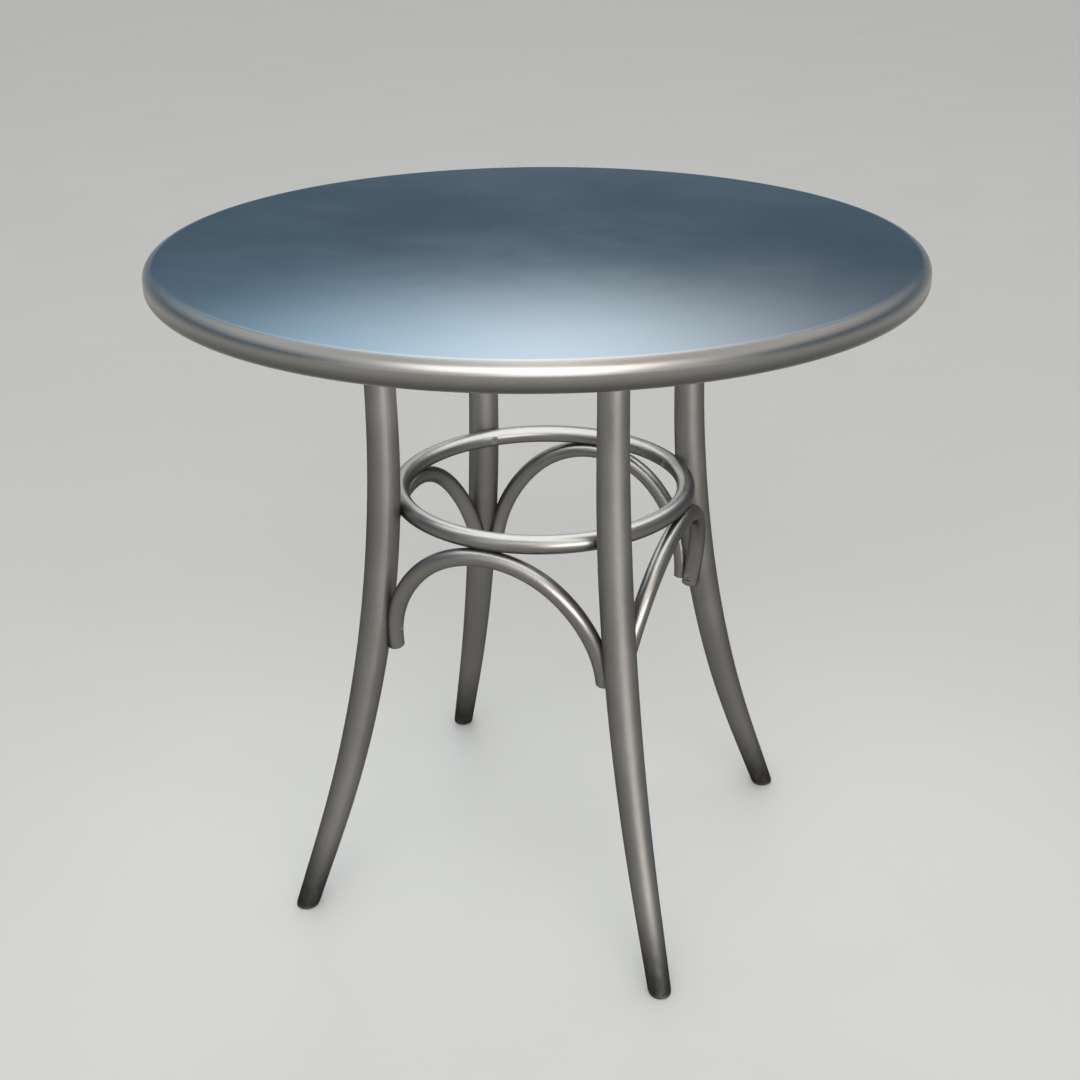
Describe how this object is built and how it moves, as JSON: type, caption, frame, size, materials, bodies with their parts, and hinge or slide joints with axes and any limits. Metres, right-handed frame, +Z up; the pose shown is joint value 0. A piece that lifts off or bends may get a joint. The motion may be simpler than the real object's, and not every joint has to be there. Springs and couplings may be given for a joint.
{
  "type": "bistro table",
  "caption": "Round bistro table with a satin metal top on flared tapering legs, tied by a ring and arched braces between the legs.",
  "frame": {"origin": "on the floor under the middle of the round top", "axes": "+Z up; the braces face +X, -X, +Y and -Y, the legs stand on the diagonals; front is -Y"},
  "size_m": [0.7999, 0.8, 0.75],
  "materials": {
    "top_metal": "satin, lightly rubbed",
    "frame_metal": "satin",
    "board": "raw fibreboard",
    "backing_sheet": "matt grey",
    "glide_nylon": "matt",
    "fixings": "plain stainless"
  },
  "bodies": {
    "root": {"arch_brace_back": "frame_metal", "arch_brace_front": "frame_metal", "arch_brace_left": "frame_metal", "arch_brace_right": "frame_metal", "brace_leg_screws": "fixings", "brace_ring_screws": "fixings", "foot_glide_back_left": "glide_nylon", "foot_glide_back_right": "glide_nylon", "foot_glide_front_left": "glide_nylon", "foot_glide_front_right": "glide_nylon", "leg_back_left": "frame_metal", "leg_back_right": "frame_metal", "leg_bolts": "fixings", "leg_front_left": "frame_metal", "leg_front_right": "frame_metal", "ring_screws": "fixings", "stretcher_ring": "frame_metal", "top_core": "board", "top_flange_back_left": "frame_metal", "top_flange_back_right": "frame_metal", "top_flange_front_left": "frame_metal", "top_flange_front_right": "frame_metal", "top_screws": "fixings", "top_skin": "top_metal", "underside_sheet": "backing_sheet"}
  },
  "joints": []
}
